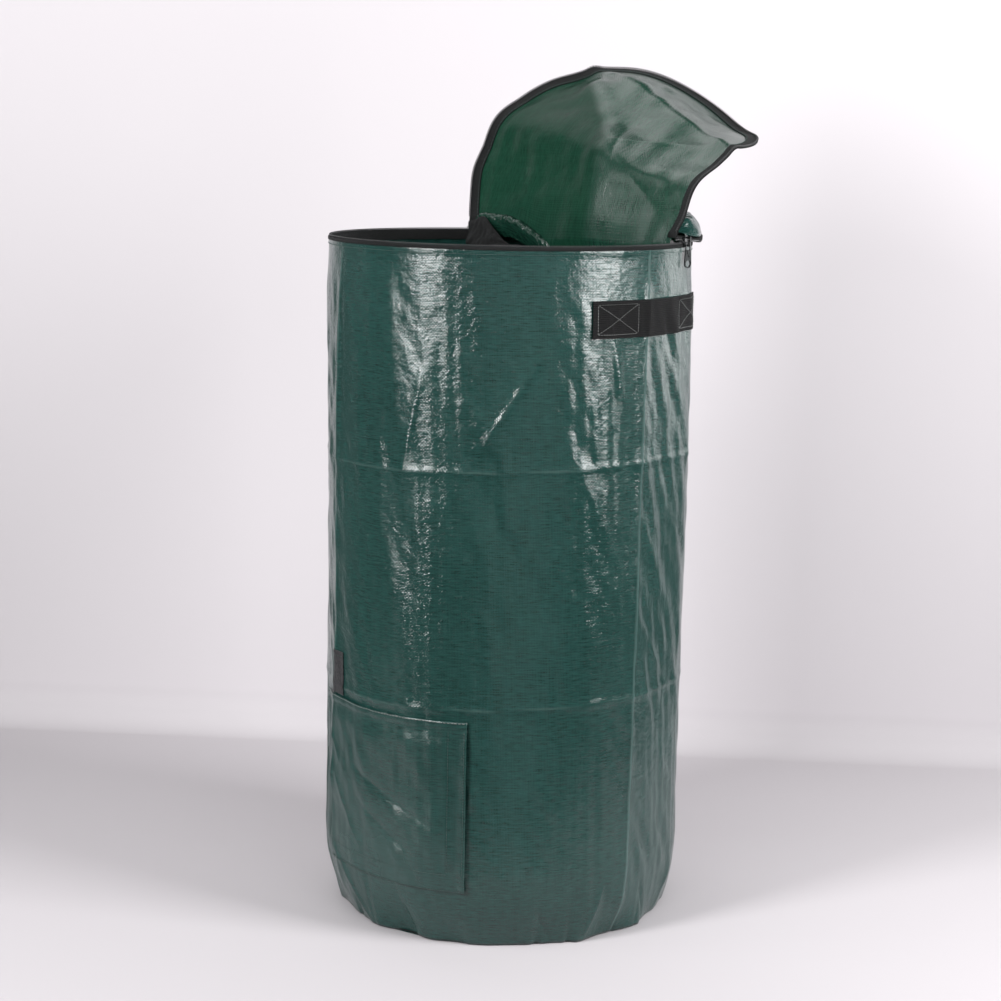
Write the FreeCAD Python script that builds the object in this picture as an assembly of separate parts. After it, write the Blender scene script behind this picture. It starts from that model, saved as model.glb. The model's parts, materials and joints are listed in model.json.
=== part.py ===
import FreeCAD, Part
import math
import os

# Fabric grow bag: an upright tube of coated woven sheet with a round zipped lid,
# two webbing handles and a lift-up harvest flap near the foot.
# Millimetres. Origin at the middle of the base, on the floor. +X right, +Y back, +Z up.
# Azimuths are in degrees, from the front (-Y) round towards the right (+X).

# ---- driving dimensions ----
BAG_RADIUS = 225.0            # outside of the wall
BAG_HEIGHT = 850.0            # floor to the middle of the zip
SHEET = 1.0                   # coated sheet, hemmed thickness
LIP = 5.0                     # zip chain stands this far above the wall's hem
FOOT_RADIUS = 205.0           # the wall draws in to this at the floor
FOOT_TAPER = 72.0             # height over which it draws in

# zip
CHAIN_OUT = BAG_RADIUS + 0.4  # outside of both coils
CHAIN_IN = BAG_RADIUS - 2.0   # inside of both coils
CHAIN_GAP = 1.6               # between the two coils when the lid is shut
COIL_HEIGHT = 2.7
TAPE = 0.8
TAPE_HEIGHT = 13.0
SLIDER_AZ = 68.0
SLIDER_WIDTH = 10.0
PULL_OUT = 5.4                # the pull's bar stands this far outside the chain
PULL_TWIST = 28.0             # the pull hangs turned this far towards the front

# lid
LID_TOP = BAG_HEIGHT + 7.4    # top face of the shut lid, where its folds turn
LID_DISC_RADIUS = 214.0
FOLD_GAP = 0.4                # half the gap between two lid panels at a fold
HINGE_AZ = 128.0              # direction of the middle of the hinge
HINGE_HALF_SPAN = 65.0        # degrees of rim from the middle of the hinge to its end
FOLD_LEFT = 142.0             # the middle fold's distance in front of the hinge's two ends
FOLD_RIGHT = 60.0
RIDGE_LEFT = -37.0            # ends of the outer fold, degrees of rim from the far side
RIDGE_RIGHT = 80.0
HINGE_OPEN = 109.0            # how far each fold is turned back in the rest pose
FOLD_OPEN = 34.0
RIDGE_OPEN = 43.0
FOLD_OVERRUN = 60.0           # cutting lines are carried this far past the rim

# handles
WEB = 2.0                     # webbing thickness
WEB_LOW = 741.0
WEB_HIGH = 785.0
RIGHT_HANDLE = (25.5, 42.4, 65.0, 85.0)   # start, grip start, grip end, end
HANDLE_TURN = 180.0           # the left handle is the right one turned this far about Z

# harvest flap
FLAP_WEST = -76.0
FLAP_EAST = -10.6
FLAP_LOW = 72.0
FLAP_HIGH = 284.0
KEEPER_WEST = -68.0           # fuzzy strip above the flap's left corner
KEEPER_EAST = -60.6
KEEPER_HIGH = 340.0
STRIP = 20.0                  # hook and loop strips
STRIP_THICK = 0.7
STRIP_MARGIN = 2.0
CLEAR = 0.05                  # running gap between layers
THREAD = 0.4

Z_AXIS = FreeCAD.Vector(0, 0, 1)
ORIGIN = FreeCAD.Vector(0, 0, 0)


def arc_degrees(length, radius=BAG_RADIUS):
    """Degrees of rim that a length along it covers."""
    return math.degrees(length / radius)


def around(radius, azimuth, height):
    """The point at this radius, azimuth and height."""
    a = math.radians(azimuth)
    return FreeCAD.Vector(radius * math.sin(a), -radius * math.cos(a), height)


def turned(profile, start=0.0, end=360.0):
    """A closed (radius, height) outline swept about Z between two azimuths."""
    points = [around(r, start, z) for r, z in profile]
    face = Part.Face(Part.makePolygon(points + points[:1]))
    return face.revolve(ORIGIN, Z_AXIS, end - start)


def band(inner, outer, low, high, start=0.0, end=360.0):
    """A curved plate: part of a ring of rectangular section."""
    return turned([(inner, low), (outer, low), (outer, high), (inner, high)], start, end)


def local_box(width, depth, height, azimuth, radius, low):
    """A box facing outwards: its inner face is at radius, its middle at azimuth."""
    box = Part.makeBox(width, depth, height, FreeCAD.Vector(-width / 2, -radius - depth, low))
    box.rotate(ORIGIN, Z_AXIS, azimuth)
    return box


# ---- wall and base ----

def wall_profile():
    inner = BAG_RADIUS - SHEET
    top = BAG_HEIGHT - LIP
    return [
        (FOOT_RADIUS - SHEET, 4.0),
        (FOOT_RADIUS, 4.0),
        (BAG_RADIUS, FOOT_TAPER),
        (BAG_RADIUS, top),
        (inner, top),
        (inner, FOOT_TAPER),
    ]


def bag_wall():
    wall = turned(wall_profile())
    side = arc_degrees(STRIP + 2 * STRIP_MARGIN)
    low = FLAP_LOW + STRIP + 2 * STRIP_MARGIN
    high = FLAP_HIGH - 15.0
    opening = band(
        BAG_RADIUS - 20, BAG_RADIUS + 5, low, high, FLAP_WEST + side, FLAP_EAST - side
    )
    return wall.cut(opening)


def base_panel():
    return Part.makeCylinder(FOOT_RADIUS - 3.0, 1.2)


def base_binding():
    """Folded tape that closes the seam between the base and the wall."""
    inner = FOOT_RADIUS - 2.8
    return band(inner, FOOT_RADIUS + 0.6, 0.4, 3.9)


def wall_seam():
    """Lapped strip down the back, where the sheet is joined into a tube."""
    half = arc_degrees(10.0)
    inner = BAG_RADIUS + CLEAR
    return band(inner, inner + 0.5, FOOT_TAPER + 6, BAG_HEIGHT - 20, 160 - half, 160 + half)


def rim_stitching():
    inner = BAG_RADIUS + CLEAR
    level = BAG_HEIGHT - LIP - 7.0
    return band(inner, inner + THREAD, level - 0.4, level + 0.4)


# ---- zip on the rim ----

def rim_coil_top():
    return BAG_HEIGHT - CHAIN_GAP / 2


def rim_zip_tape():
    outer = BAG_RADIUS - SHEET - CLEAR
    top = rim_coil_top() - COIL_HEIGHT - CLEAR
    return band(outer - TAPE, outer, top - TAPE_HEIGHT, top)


def rim_zip_coil():
    top = rim_coil_top()
    return band(CHAIN_IN, CHAIN_OUT, top - COIL_HEIGHT, top)


def zip_stops():
    """Two clamped stops above the rim coil, one at each end of the slider's run."""
    stops = []
    for azimuth in (HINGE_AZ + HINGE_HALF_SPAN + 1.2, SLIDER_AZ + 4.2):
        half = arc_degrees(2.0)
        low = rim_coil_top() + CLEAR
        stops.append(band(CHAIN_IN, CHAIN_OUT, low, low + 1.3, azimuth - half, azimuth + half))
    return Part.makeCompound(stops)


# ---- lid ----

def hinge_distance():
    return BAG_RADIUS * math.cos(math.radians(HINGE_HALF_SPAN))


def lid_point(reach, across, height=LID_TOP):
    """A point of the shut lid: reach forward of the hinge, across along it."""
    back = around(1, HINGE_AZ, 0)
    along = FreeCAD.Vector(-back.y, back.x, 0)
    point = back * (hinge_distance() - reach) - along * across
    return FreeCAD.Vector(point.x, point.y, height)


def rim_reach(degrees):
    """(reach, across) of a point of the rim, counted from the lid's far side."""
    a = math.radians(degrees)
    return hinge_distance() + BAG_RADIUS * math.cos(a), BAG_RADIUS * math.sin(a)


def fold_ends():
    """(reach, across) of the middle fold, level with the hinge's two ends."""
    half = BAG_RADIUS * math.sin(math.radians(HINGE_HALF_SPAN))
    return (FOLD_LEFT, -half), (FOLD_RIGHT, half)


def ridge_ends():
    return rim_reach(RIDGE_LEFT), rim_reach(RIDGE_RIGHT)


def cut_line(ends, offset):
    """The line through a fold's ends, moved forward by offset and carried on past the rim."""
    (s0, t0), (s1, t1) = ends
    length = math.hypot(s1 - s0, t1 - t0)
    ds, dt = (s1 - s0) / length, (t1 - t0) / length
    left = (s0 - ds * FOLD_OVERRUN + dt * offset, t0 - dt * FOLD_OVERRUN - ds * offset)
    right = (s1 + ds * FOLD_OVERRUN + dt * offset, t1 + dt * FOLD_OVERRUN - ds * offset)
    return [left, right]


def lid_region(name):
    """Upright prism that holds one part of the shut lid."""
    wide = 300.0
    if name == "back":
        outline = [(-FOLD_GAP, -wide), (-FOLD_GAP, wide), (-wide, wide), (-wide, -wide)]
    elif name == "root":
        left, right = cut_line(fold_ends(), -FOLD_GAP)
        outline = [(FOLD_GAP, -wide), (FOLD_GAP, wide), right, left]
    elif name == "main":
        near_left, near_right = cut_line(fold_ends(), FOLD_GAP)
        far_left, far_right = cut_line(ridge_ends(), -FOLD_GAP)
        outline = [near_left, near_right, far_right, far_left]
    else:
        left, right = cut_line(ridge_ends(), FOLD_GAP)
        outline = [left, right, (2 * wide, wide), (2 * wide, -wide)]
    points = [lid_point(s, t, BAG_HEIGHT) for s, t in outline]
    face = Part.Face(Part.makePolygon(points + points[:1]))
    return face.extrude(FreeCAD.Vector(0, 0, 20))


def turn_about(shape, ends, degrees):
    """Turn shape upwards about the line through two points of the shut lid."""
    left, right = (lid_point(reach, across) for reach, across in ends)
    shape.rotate(right, left - right, degrees)


def opened(shape, name):
    """Fold a piece of the shut lid back to the rest pose."""
    if name == "tip":
        turn_about(shape, ridge_ends(), RIDGE_OPEN)
    if name in ("tip", "main"):
        turn_about(shape, fold_ends(), FOLD_OPEN)
    if name != "back":
        turn_about(shape, ((0, -1), (0, 1)), HINGE_OPEN)
    return shape


def lid_panel(name):
    disc = Part.makeCylinder(LID_DISC_RADIUS, 0.9, FreeCAD.Vector(0, 0, LID_TOP - 1.0))
    return opened(disc.common(lid_region(name)), name)


def lid_tape(name):
    """Zip tape round the disc's edge, sloping down to the coil."""
    top = LID_TOP - 0.2
    foot = BAG_HEIGHT + CHAIN_GAP / 2 + COIL_HEIGHT + CLEAR
    ring = turned([
        (LID_DISC_RADIUS + CLEAR, top - TAPE),
        (CHAIN_IN - 0.4, foot),
        (CHAIN_OUT - 0.2, foot),
        (CHAIN_OUT - 0.2, foot + 0.9),
        (LID_DISC_RADIUS + CLEAR, top),
    ])
    return opened(ring.common(lid_region(name)), name)


def lid_coil(name):
    low = BAG_HEIGHT + CHAIN_GAP / 2
    ring = band(CHAIN_IN, CHAIN_OUT, low, low + COIL_HEIGHT)
    return opened(ring.common(lid_region(name)), name)


# ---- slider and pull ----

def zip_slider():
    """Two plates either side of the chain, joined by a post in the gap between the coils."""
    low = BAG_HEIGHT - 7.0
    inner = local_box(SLIDER_WIDTH - 1, 1.8, 9.0, SLIDER_AZ, CHAIN_IN - 2.8, low)
    outer_face = CHAIN_OUT + 1.0
    outer = local_box(SLIDER_WIDTH, 1.8, 14.0, SLIDER_AZ, outer_face, low)
    span = outer_face - (CHAIN_IN - 1.0)
    post = local_box(5.0, span + 1.0, 1.1, SLIDER_AZ, CHAIN_IN - 1.5, BAG_HEIGHT - 0.55)
    arch = local_box(2.4, 6.0, 12.0, SLIDER_AZ, outer_face + 1.6, low + 1.0)
    eye = local_box(4.0, 4.4, 7.0, SLIDER_AZ, outer_face + 1.8, low + 3.5)
    return inner.fuse([outer, post, arch.cut(eye)]).removeSplitter()


def zip_pull():
    """Wire bail under the slider's arch, carrying a flat tab with a round eye."""
    bar_radius = 0.8
    pivot_r = CHAIN_OUT + PULL_OUT
    top = BAG_HEIGHT - 1.0
    half = 3.4
    bar = Part.makeCylinder(
        bar_radius, 2 * half, FreeCAD.Vector(-half, -pivot_r, top), FreeCAD.Vector(1, 0, 0)
    )
    arms = []
    for side in (-half, half):
        foot = FreeCAD.Vector(side, -pivot_r, top - 10.5)
        arms.append(Part.makeCylinder(bar_radius, 10.5, foot))
        arms.append(Part.makeSphere(bar_radius, FreeCAD.Vector(side, -pivot_r, top)))
    neck_top = top - 9.0
    ring_z = BAG_HEIGHT - 26.5
    outline = [
        FreeCAD.Vector(-half - 0.8, 0, neck_top),
        FreeCAD.Vector(half + 0.8, 0, neck_top),
        FreeCAD.Vector(5.4, 0, ring_z),
        FreeCAD.Vector(-5.4, 0, ring_z),
    ]
    plate = Part.Face(Part.makePolygon(outline + outline[:1])).extrude(FreeCAD.Vector(0, -1.8, 0))
    disc = Part.makeCylinder(5.4, 1.8, FreeCAD.Vector(0, 0, ring_z), FreeCAD.Vector(0, -1, 0))
    tab = plate.fuse(disc)
    hole = Part.makeCylinder(4.0, 6, FreeCAD.Vector(0, 2, ring_z), FreeCAD.Vector(0, -1, 0))
    tab = tab.cut(hole)
    tab.translate(FreeCAD.Vector(0, -pivot_r + 0.9, 0))
    pull = bar.fuse(arms + [tab]).removeSplitter()
    pull.rotate(FreeCAD.Vector(0, -pivot_r, 0), Z_AXIS, -PULL_TWIST)
    pull.rotate(ORIGIN, Z_AXIS, SLIDER_AZ)
    return pull


# ---- handles ----

def handle_ends(turn):
    """The two sewn ends of one webbing handle."""
    a, b, c, d = (azimuth + turn for azimuth in RIGHT_HANDLE)
    inner = BAG_RADIUS + CLEAR
    ends = [band(inner, inner + WEB, WEB_LOW, WEB_HIGH, *span) for span in ((a, b), (c, d))]
    return Part.makeCompound(ends)


def handle_grip(turn):
    """The loose middle of the webbing, which stands a little off the wall."""
    gap = arc_degrees(0.6)
    inner = BAG_RADIUS + 1.0
    start = RIGHT_HANDLE[1] + turn + gap
    end = RIGHT_HANDLE[2] + turn - gap
    return band(inner, inner + WEB, WEB_LOW, WEB_HIGH, start, end)


def handle_stitching(turn):
    """Thread boxes round the edge of each sewn end."""
    inner = BAG_RADIUS + WEB + 2 * CLEAR
    outer = inner + THREAD
    inset = 4.0
    boxes = []
    for first, last in (RIGHT_HANDLE[:2], RIGHT_HANDLE[2:]):
        start = first + turn + arc_degrees(inset)
        end = last + turn - arc_degrees(inset)
        low, high = WEB_LOW + inset, WEB_HIGH - inset
        frame = band(inner, outer, low, high, start, end)
        side = arc_degrees(1.0)
        boxes.append(frame.cut(band(inner - 1, outer + 1, low + 1, high - 1, start + side, end - side)))
    return Part.makeCompound(boxes)


# ---- harvest flap and its hook and loop strips ----

def flap_inner():
    return BAG_RADIUS + 2 * STRIP_THICK + 3 * CLEAR


def flap_panel():
    inner = flap_inner()
    return band(inner, inner + 0.8, FLAP_LOW, FLAP_HIGH, FLAP_WEST, FLAP_EAST)


def strip_spans(place):
    """(low, high, start, end) of a strip along one edge of the flap."""
    margin = arc_degrees(STRIP_MARGIN)
    width = arc_degrees(STRIP)
    low = FLAP_LOW + STRIP_MARGIN
    side_low = low + STRIP + 0.3
    side_high = FLAP_HIGH - 16.0
    if place == "left":
        return side_low, side_high, FLAP_WEST + margin, FLAP_WEST + margin + width
    if place == "right":
        return side_low, side_high, FLAP_EAST - margin - width, FLAP_EAST - margin
    return low, low + STRIP, FLAP_WEST + margin, FLAP_EAST - margin


def loop_strip(place):
    inner = BAG_RADIUS + CLEAR
    return band(inner, inner + STRIP_THICK, *strip_spans(place))


def hook_strip(place):
    inner = BAG_RADIUS + STRIP_THICK + 2 * CLEAR
    return band(inner, inner + STRIP_THICK, *strip_spans(place))


def keeper_strip():
    """Fuzzy strip on the wall above the flap's left corner, for the rolled-up flap."""
    inner = BAG_RADIUS + CLEAR
    return band(inner, inner + 1.2, FLAP_HIGH + 1.5, KEEPER_HIGH, KEEPER_WEST, KEEPER_EAST)


def flap_stitching():
    """Thread along the top hem and inside the other three edges."""
    inner = flap_inner() + 0.8 + CLEAR
    outer = inner + THREAD
    edge = arc_degrees(STRIP + STRIP_MARGIN)
    thin = arc_degrees(0.8)
    low = FLAP_LOW + STRIP + STRIP_MARGIN
    west, east = FLAP_WEST + edge, FLAP_EAST - edge
    rows = [
        band(inner, outer, FLAP_HIGH - 8.0, FLAP_HIGH - 7.2, FLAP_WEST + 0.6, FLAP_EAST - 0.6),
        band(inner, outer, FLAP_HIGH - 2.0, FLAP_HIGH - 1.2, FLAP_WEST + 0.6, FLAP_EAST - 0.6),
        band(inner, outer, low, low + 0.8, west, east),
        band(inner, outer, low + 1.2, FLAP_HIGH - 9.0, west, west + thin),
        band(inner, outer, low + 1.2, FLAP_HIGH - 9.0, east - thin, east),
    ]
    return Part.makeCompound(rows)


def all_parts():
    parts = {
        "bag_wall": bag_wall(),
        "base_panel": base_panel(),
        "base_binding": base_binding(),
        "wall_seam": wall_seam(),
        "rim_stitching": rim_stitching(),
        "rim_zip_tape": rim_zip_tape(),
        "rim_zip_coil": rim_zip_coil(),
        "zip_stops": zip_stops(),
        "zip_slider": zip_slider(),
        "zip_pull": zip_pull(),
        "flap_panel": flap_panel(),
        "flap_stitching": flap_stitching(),
        "keeper_strip": keeper_strip(),
    }
    for name in ("back", "root", "main", "tip"):
        parts["lid_" + name + "_panel"] = lid_panel(name)
        parts["lid_" + name + "_tape"] = lid_tape(name)
        parts["lid_" + name + "_coil"] = lid_coil(name)
    for side, turn in (("right", 0.0), ("left", HANDLE_TURN)):
        parts["handle_" + side + "_ends"] = handle_ends(turn)
        parts["handle_" + side + "_grip"] = handle_grip(turn)
        parts["handle_" + side + "_stitching"] = handle_stitching(turn)
    for place in ("left", "right", "bottom"):
        parts["loop_strip_" + place] = loop_strip(place)
        parts["hook_strip_" + place] = hook_strip(place)
    return parts


os.makedirs("parts", exist_ok=True)
for node, shape in all_parts().items():
    shape.exportStep("parts/" + node + ".step")
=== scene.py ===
import json
import math

import bpy
import numpy as np
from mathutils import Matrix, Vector


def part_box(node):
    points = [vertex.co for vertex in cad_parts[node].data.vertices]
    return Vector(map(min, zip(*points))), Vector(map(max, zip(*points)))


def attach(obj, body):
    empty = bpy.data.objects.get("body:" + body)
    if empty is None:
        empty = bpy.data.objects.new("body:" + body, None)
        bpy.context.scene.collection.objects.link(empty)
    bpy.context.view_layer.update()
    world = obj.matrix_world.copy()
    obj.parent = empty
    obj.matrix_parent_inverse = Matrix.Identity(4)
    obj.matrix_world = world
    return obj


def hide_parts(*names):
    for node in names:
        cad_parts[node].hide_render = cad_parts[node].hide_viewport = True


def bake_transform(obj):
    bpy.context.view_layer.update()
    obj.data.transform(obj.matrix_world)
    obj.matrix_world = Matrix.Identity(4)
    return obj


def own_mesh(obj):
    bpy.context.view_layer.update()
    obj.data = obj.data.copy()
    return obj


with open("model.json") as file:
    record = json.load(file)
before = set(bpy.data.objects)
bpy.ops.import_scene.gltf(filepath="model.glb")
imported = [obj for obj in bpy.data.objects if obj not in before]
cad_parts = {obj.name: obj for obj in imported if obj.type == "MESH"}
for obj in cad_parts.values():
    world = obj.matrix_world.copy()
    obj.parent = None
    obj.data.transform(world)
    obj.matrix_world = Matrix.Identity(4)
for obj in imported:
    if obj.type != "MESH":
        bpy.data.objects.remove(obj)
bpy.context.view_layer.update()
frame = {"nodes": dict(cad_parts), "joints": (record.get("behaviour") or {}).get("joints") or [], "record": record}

# ---- places taken from the CAD ----

def levels(node):
    """Lowest and highest level of a CAD node."""
    low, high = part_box(node)
    return low.z, high.z


RADIUS = 0.225
WALL_TOP = levels("bag_wall")[1]
RIM_COIL = levels("rim_zip_coil")
LID_COIL = levels("lid_back_coil")
LID_TOP = levels("lid_back_panel")[1]
TAPE_LOW = levels("rim_zip_tape")[0]
WEB_LOW, WEB_HIGH = levels("handle_right_grip")
FLAP_LOW, FLAP_HIGH = levels("flap_panel")
KEEPER_LOW, KEEPER_HIGH = levels("keeper_strip")
JOINTS = {j["name"]: j for j in frame["joints"]}

FOOT_RADIUS = 0.205
FOOT_TAPER = 0.100
FLAP_WEST, FLAP_EAST = -76.0, -10.6
FLAP_MIDDLE = (FLAP_WEST + FLAP_EAST) / 2
KEEPER_WEST, KEEPER_EAST = -68.0, -60.6
HANDLE = (25.0, 42.4, 65.0, 85.0)
LEFT_TURN = 180.0
COIL_RADIUS = 0.2238
DISC_RADIUS = 0.2142


# ---- small maths ----

def smooth(t):
    t = np.clip(t, 0, 1)
    return t * t * (3 - 2 * t)


def around(radius, az, height):
    """Points at this radius, azimuth az (degrees from the front towards the right) and height."""
    a = np.radians(az)
    radius, a, height = np.broadcast_arrays(radius, a, height)
    return np.stack([radius * np.sin(a), -radius * np.cos(a), height], -1)


def outward(az):
    return around(1.0, az, 0.0)


def segment_distance(u, v, a, b):
    """Distance of (u, v) from the segment a-b, and how far along it the nearest point is."""
    du, dv = b[0] - a[0], b[1] - a[1]
    t = np.clip(((u - a[0]) * du + (v - a[1]) * dv) / (du * du + dv * dv), 0, 1)
    return np.hypot(u - a[0] - t * du, v - a[1] - t * dv), t


def fold(u, v, a, b, height, width):
    """A sharp fold from a to b that dies away at both ends."""
    distance, t = segment_distance(u, v, a, b)
    return height * np.exp(-distance / width) * np.sin(np.pi * (0.12 + 0.76 * t))


def waves(u, v, seed, wavelength, count=9):
    """Smooth random relief of about unit height."""
    rng = np.random.default_rng(seed)
    total = np.zeros(np.broadcast(u, v).shape)
    for _ in range(count):
        k = 2 * np.pi / (wavelength * rng.uniform(0.7, 1.6))
        angle = rng.uniform(0, 2 * np.pi)
        total += np.sin(k * (u * np.cos(angle) + v * np.sin(angle)) + rng.uniform(0, 6.28))
    return total / math.sqrt(count)


def round_waves(az, v, seed, turns, height_waves, count=9):
    """Smooth random relief that closes on itself round the bag."""
    rng = np.random.default_rng(seed)
    a = np.radians(az)
    total = np.zeros(np.broadcast(az, v).shape)
    for _ in range(count):
        n = rng.integers(turns[0], turns[1] + 1)
        k = rng.uniform(*height_waves) * 2 * np.pi
        total += np.sin(n * a + k * v + rng.uniform(0, 6.28))
    return total / math.sqrt(count)


def rotated(points, pos, axis, angle):
    """Points turned about a line; angle may differ from point to point."""
    rel = points - pos
    c, s = np.cos(angle), np.sin(angle)
    if np.ndim(angle):
        c, s = c[:, None], s[:, None]
    along = (rel @ axis)[:, None] * axis
    return pos + rel * c + np.cross(axis, rel) * s + along * (1 - c)


# ---- mesh building ----

def make(name, points, faces, look, uv=None, crease=None, taut=None):
    """A smooth-shaded mesh with one of LOOKS. uv is in metres of cloth; crease marks worn folds and
    taut tight cloth, 0 to 1."""
    points = np.asarray(points, float).reshape(-1, 3)
    mesh = bpy.data.meshes.new(name)
    mesh.from_pydata(points.tolist(), [], np.asarray(faces).tolist())
    mesh.polygons.foreach_set("use_smooth", np.ones(len(mesh.polygons), bool))
    if uv is not None:
        loops = np.zeros(len(mesh.loops), np.int32)
        mesh.loops.foreach_get("vertex_index", loops)
        layer = mesh.uv_layers.new(name="UVMap")
        layer.data.foreach_set("uv", np.asarray(uv, float).reshape(-1, 2)[loops].ravel())
    for title, values in (("crease", crease), ("taut", taut)):
        if values is not None:
            layer = mesh.attributes.new(title, "FLOAT", "POINT")
            layer.data.foreach_set("value", np.asarray(values, np.float32).ravel())
    mesh.materials.append(LOOKS[look])
    mesh.update()
    made = bpy.data.objects.new(name, mesh)
    bpy.context.scene.collection.objects.link(made)
    return made


def grid_faces(rows, columns, wrap=False):
    """Quads of a rows x columns grid of points; wrap joins the last column to the first."""
    last = columns if wrap else columns - 1
    r, c = np.meshgrid(np.arange(rows - 1), np.arange(last), indexing="ij")
    n = (c + 1) % columns
    quad = [r * columns + c, r * columns + n, (r + 1) * columns + n, (r + 1) * columns + c]
    return np.stack(quad, -1).reshape(-1, 4)


def pairs(u, v):
    return np.stack([u, v], -1)


def ring_grid(count, rows):
    """Azimuths evenly round the bag, for each of the rows, and the faces that close the ring."""
    a, rows = np.meshgrid(np.linspace(0, 360, count, endpoint=False), rows)
    return a, rows, grid_faces(*a.shape, wrap=True)


def thicken(made, thickness):
    """Give a sheet its thickness, outwards, and keep the result."""
    modifier = made.modifiers.new("thickness", "SOLIDIFY")
    modifier.thickness = thickness
    modifier.offset = 1.0
    graph = bpy.context.evaluated_depsgraph_get()
    mesh = bpy.data.meshes.new_from_object(made.evaluated_get(graph))
    made.modifiers.clear()
    made.data = mesh


def tubes(paths, radius, sides=5):
    """Closed tubes along paths, an array of (tube, step, xyz). radius may vary by step."""
    paths = np.asarray(paths, float)
    count, steps, _ = paths.shape
    tangent = np.gradient(paths, axis=1)
    tangent /= np.linalg.norm(tangent, axis=2, keepdims=True) + 1e-12
    up = np.where(np.abs(tangent[..., 2:3]) > 0.9, [[[1.0, 0, 0]]], [[[0, 0, 1.0]]])
    first = np.cross(tangent, up)
    first /= np.linalg.norm(first, axis=2, keepdims=True)
    second = np.cross(tangent, first)
    a = np.linspace(0, 2 * np.pi, sides, endpoint=False)
    r = np.broadcast_to(np.asarray(radius, float), (steps,))[None, :, None, None]
    ring = first[:, :, None] * np.cos(a)[:, None] + second[:, :, None] * np.sin(a)[:, None]
    points = paths[:, :, None] + ring * r
    one = grid_faces(steps, sides, wrap=True)
    faces = (one[None] + (np.arange(count) * steps * sides)[:, None, None]).reshape(-1, 4)
    return points.reshape(-1, 3), faces


def dashes(line, normals, pitch, length, radius, lift=0.4):
    """Stitches laid along a line of points: short arched threads."""
    line = np.asarray(line, float)
    step = np.linalg.norm(np.diff(line, axis=0), axis=1)
    run = np.concatenate([[0], np.cumsum(step)])
    starts = np.arange(pitch / 2, run[-1] - length, pitch)
    where = starts[:, None] + np.linspace(0, 1, 5)[None] * length
    paths = np.stack([np.interp(where, run, line[:, i]) for i in range(3)], -1)
    out = np.stack([np.interp(where, run, normals[:, i]) for i in range(3)], -1)
    arch = np.array([-0.8, 0.6, 1.0, 0.6, -0.8]) * radius * lift * 2
    return tubes(paths + out * arch[None, :, None], radius * np.array([0.55, 1, 1, 1, 0.55]))


def joined(parts):
    """Several (points, faces) as one."""
    points, faces, base = [], [], 0
    for p, f in parts:
        points.append(p)
        faces.append(f + base)
        base += len(p)
    return np.concatenate(points), np.concatenate(faces)


# ---- shading ----

def new_node(tree, kind, settings):
    made = tree.nodes.new("ShaderNode" + kind)
    for key, value in settings.items():
        setattr(made, key, value)
    return made


def source(tree, kind, output, **settings):
    """An output of a shader node that needs no inputs."""
    return new_node(tree, kind, settings).outputs[output]


def put(kind, inputs, **settings):
    """A shader node beside the ones that feed it; an input that is a socket is linked."""
    tree = next(value.id_data for value in inputs.values() if isinstance(value, bpy.types.NodeSocket))
    made = new_node(tree, kind, settings)
    for key, value in inputs.items():
        if isinstance(value, bpy.types.NodeSocket):
            tree.links.new(value, made.inputs[key])
        else:
            made.inputs[key].default_value = value
    return made


def calc(operation, a, b=0.0):
    return put("Math", {0: a, 1: b}, operation=operation).outputs[0]


def times(a, b):
    return calc("MULTIPLY", a, b)


def plus(a, b):
    return calc("ADD", a, b)


def ripple(value):
    """A rounded rib for each unit of value."""
    return calc("ABSOLUTE", calc("SINE", times(value, math.pi)))


def blank(name):
    material = bpy.data.materials.new(name)
    material.use_nodes = True
    tree = material.node_tree
    tree.nodes.clear()
    return material, tree


def output(shader):
    put("OutputMaterial", {"Surface": shader})


def cloth_place(tree):
    return source(tree, "TexCoord", "UV")


def attribute(tree, name):
    return source(tree, "Attribute", "Fac", attribute_name=name)


def surface(colour, roughness, normal, **more):
    """A Principled shader; more holds its other inputs, with _ for a space in their names."""
    inputs = {"Base Color": colour, "Roughness": roughness, "Normal": normal}
    inputs.update({title.replace("_", " "): value for title, value in more.items()})
    return put("BsdfPrincipled", inputs).outputs[0]


def noise(vector, scale, detail=3.0, roughness=0.55):
    inputs = {"Vector": vector, "Scale": scale, "Detail": detail, "Roughness": roughness}
    return put("TexNoise", inputs).outputs["Fac"]


def stretch(vector, x, y):
    return put("Mapping", {"Vector": vector, "Scale": (x, y, 1.0)}).outputs[0]


def ramp(value, low, high, to_low=0.0, to_high=1.0):
    inputs = {"Value": value, "From Min": low, "From Max": high, "To Min": to_low, "To Max": to_high}
    return put("MapRange", inputs).outputs[0]


def mix_colour(factor, a, b):
    return put("Mix", {0: factor, 6: a, 7: b}, data_type="RGBA").outputs[2]


def bump(height, distance, normal=None, strength=1.0):
    inputs = {"Height": height, "Strength": strength, "Distance": distance}
    if normal is not None:
        inputs["Normal"] = normal
    return put("Bump", inputs).outputs[0]


def linear(r, g, b):
    """sRGB 0-255 to a linear colour."""
    values = [v / 255 for v in (r, g, b)]
    return tuple(v / 12.92 if v < 0.04045 else ((v + 0.055) / 1.055) ** 2.4 for v in values) + (1.0,)


def tinted(colour, gain, lift=0.0):
    """The colour made lighter or darker, no brighter than white."""
    return tuple(min(1.0, c * gain + lift) for c in colour[:3]) + (1.0,)


def grid_axes(cloth, pitch):
    """Places on the cloth counted in threads, across and up."""
    axes = put("SeparateXYZ", {0: stretch(cloth, 1 / pitch, 1 / pitch)})
    return axes.outputs[0], axes.outputs[1]


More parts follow.
